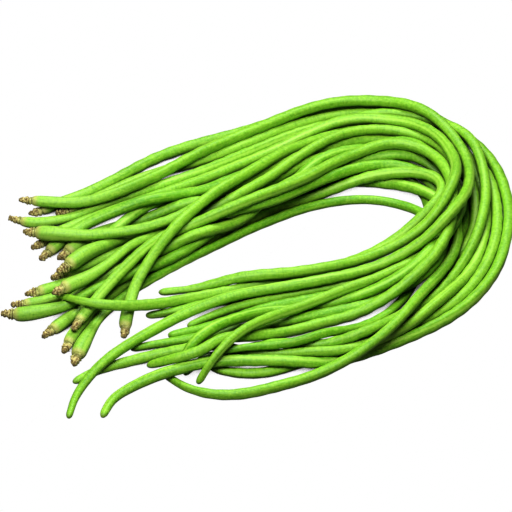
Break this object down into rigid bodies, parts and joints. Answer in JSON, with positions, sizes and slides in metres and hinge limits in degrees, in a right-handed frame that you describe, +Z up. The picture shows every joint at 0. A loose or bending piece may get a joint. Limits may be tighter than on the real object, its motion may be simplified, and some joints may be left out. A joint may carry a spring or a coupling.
{
  "type": "yardlong bean bunch",
  "caption": "Loose bunch of long thin green bean pods bent over into a U and laid flat, each with a pale neck and a short brown stalk stub.",
  "frame": {"origin": "middle of the bunch's footprint, on the surface that it lies on", "axes": "+X from the stalk ends towards the bend, +Y from the arm of the U that the tips lie in towards the arm that the stalks lie in, +Z up"},
  "size_m": [0.3694, 0.3206, 0.0394],
  "materials": {
    "pod_skin": "smooth waxy fresh green pod skin, paler at the neck, faint seams and seed swellings",
    "dry_stalk": "dry ringed brown stalk stub"
  },
  "bodies": {
    "root": {"bean_01_pod": "pod_skin", "bean_01_stalk": "dry_stalk", "bean_02_pod": "pod_skin", "bean_02_stalk": "dry_stalk", "bean_03_pod": "pod_skin", "bean_03_stalk": "dry_stalk", "bean_04_pod": "pod_skin", "bean_04_stalk": "dry_stalk", "bean_05_pod": "pod_skin", "bean_05_stalk": "dry_stalk", "bean_06_pod": "pod_skin", "bean_06_stalk": "dry_stalk", "bean_07_pod": "pod_skin", "bean_07_stalk": "dry_stalk", "bean_08_pod": "pod_skin", "bean_08_stalk": "dry_stalk", "bean_09_pod": "pod_skin", "bean_09_stalk": "dry_stalk", "bean_10_pod": "pod_skin", "bean_10_stalk": "dry_stalk", "bean_11_pod": "pod_skin", "bean_11_stalk": "dry_stalk", "bean_12_pod": "pod_skin", "bean_12_stalk": "dry_stalk", "bean_13_pod": "pod_skin", "bean_13_stalk": "dry_stalk", "bean_14_pod": "pod_skin", "bean_14_stalk": "dry_stalk", "bean_15_pod": "pod_skin", "bean_15_stalk": "dry_stalk", "bean_16_pod": "pod_skin", "bean_16_stalk": "dry_stalk", "bean_17_pod": "pod_skin", "bean_17_stalk": "dry_stalk", "bean_18_pod": "pod_skin", "bean_18_stalk": "dry_stalk", "bean_19_pod": "pod_skin", "bean_19_stalk": "dry_stalk", "bean_20_pod": "pod_skin", "bean_20_stalk": "dry_stalk", "bean_21_pod": "pod_skin", "bean_21_stalk": "dry_stalk"}
  },
  "joints": []
}
